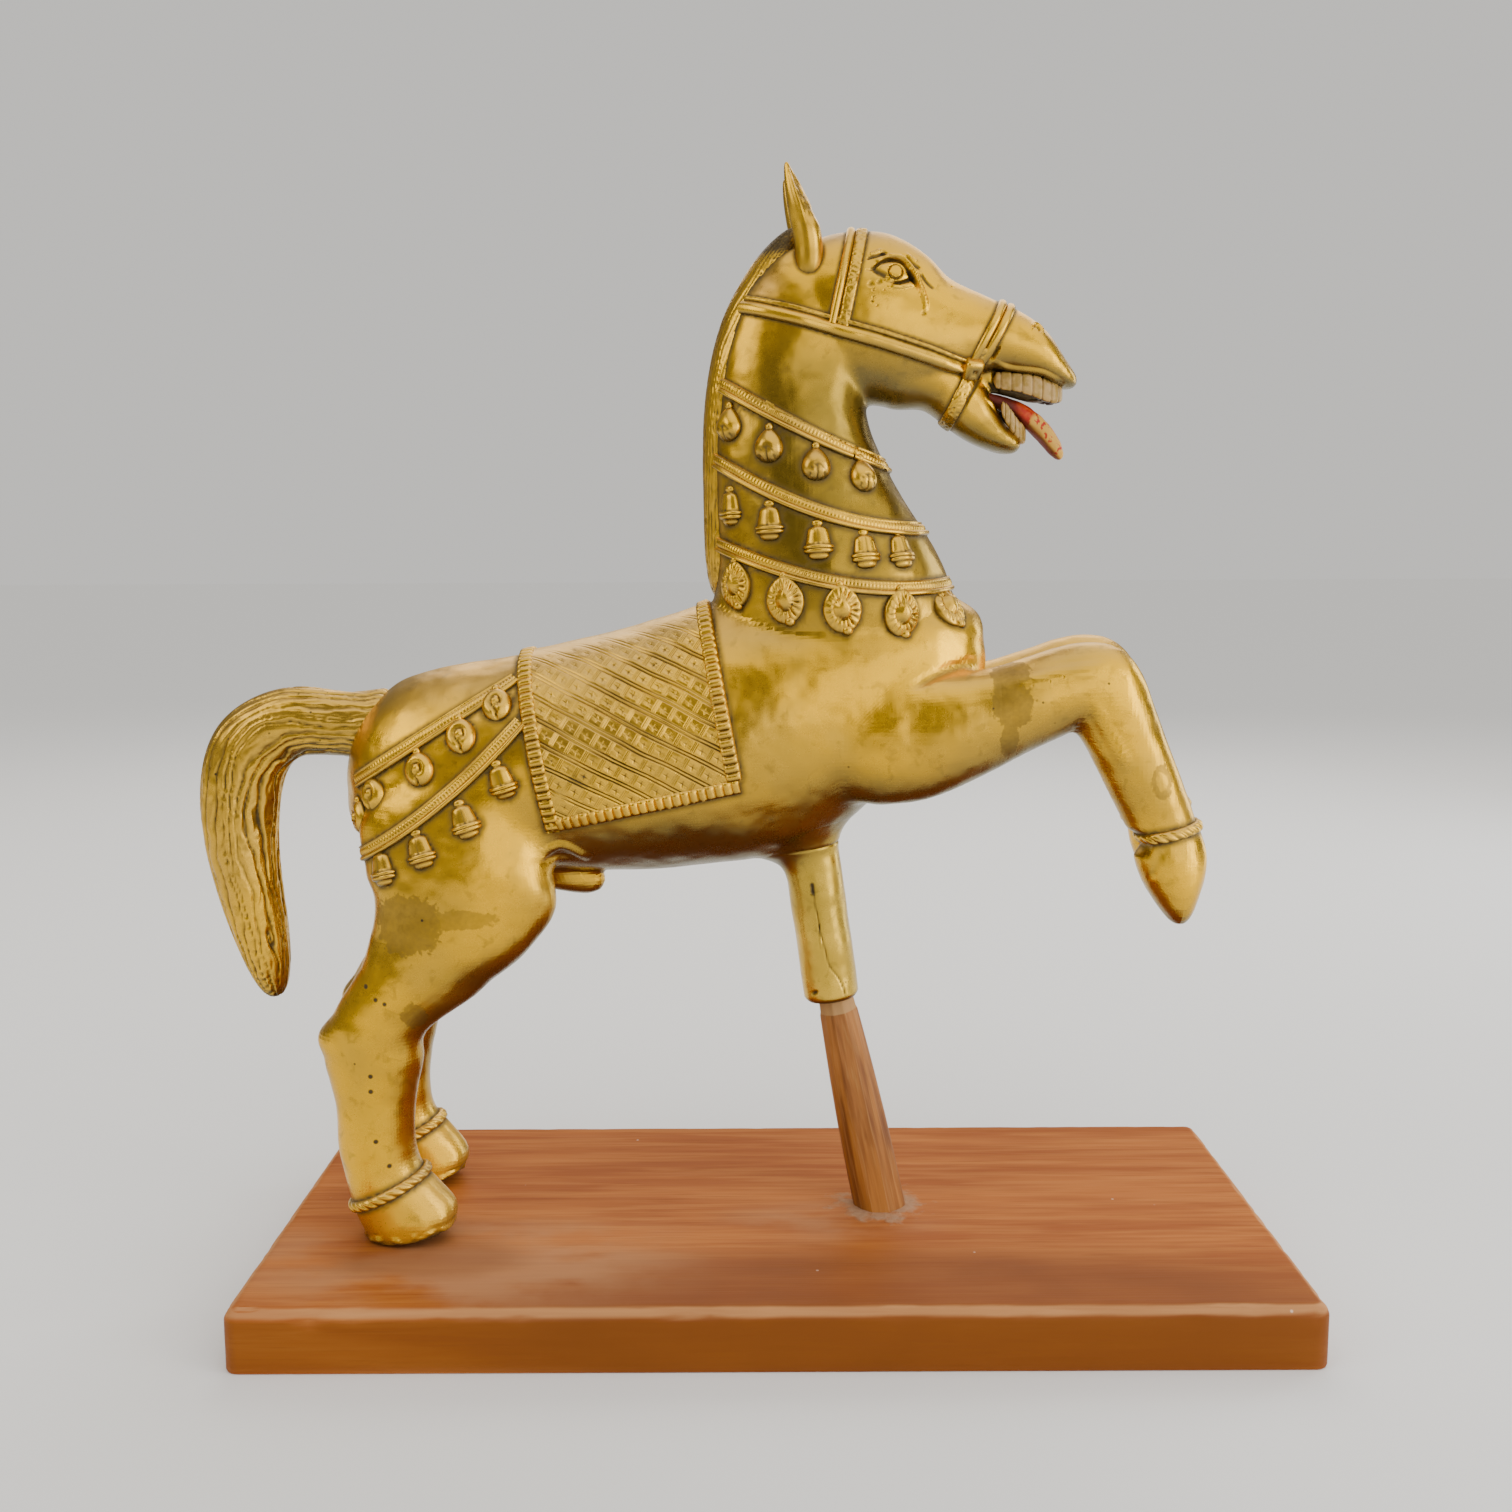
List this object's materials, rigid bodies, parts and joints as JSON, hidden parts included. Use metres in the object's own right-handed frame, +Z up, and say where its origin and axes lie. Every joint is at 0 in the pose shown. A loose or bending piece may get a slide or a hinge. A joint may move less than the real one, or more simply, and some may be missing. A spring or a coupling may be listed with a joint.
{
  "type": "brass horse statue on a stand",
  "caption": "Brass horse rearing on its hind legs, with carved harness and saddle cloth, propped by a wooden post in a brass socket on a wooden board.",
  "frame": {"origin": "on the board's underside, 2 mm ahead of its middle and 3 mm to its left", "axes": "+X the way the horse faces, +Z up, so +Y is the horse's left"},
  "size_m": [0.6057, 0.249, 0.6133],
  "materials": {
    "worn_brass": "hand-polished cast brass, worn bright on the high parts, brown patina in the recesses",
    "red_paint": "red paint worn through to yellow along the middle",
    "whittled_wood": "knife-cut flats, oiled, satin",
    "reddish_board": "reddish-brown varnish, worn along the edges"
  },
  "bodies": {
    "root": {"horse": "worn_brass", "tongue": "red_paint", "post_socket": "worn_brass", "post": "whittled_wood", "board": "reddish_board"}
  },
  "joints": []
}
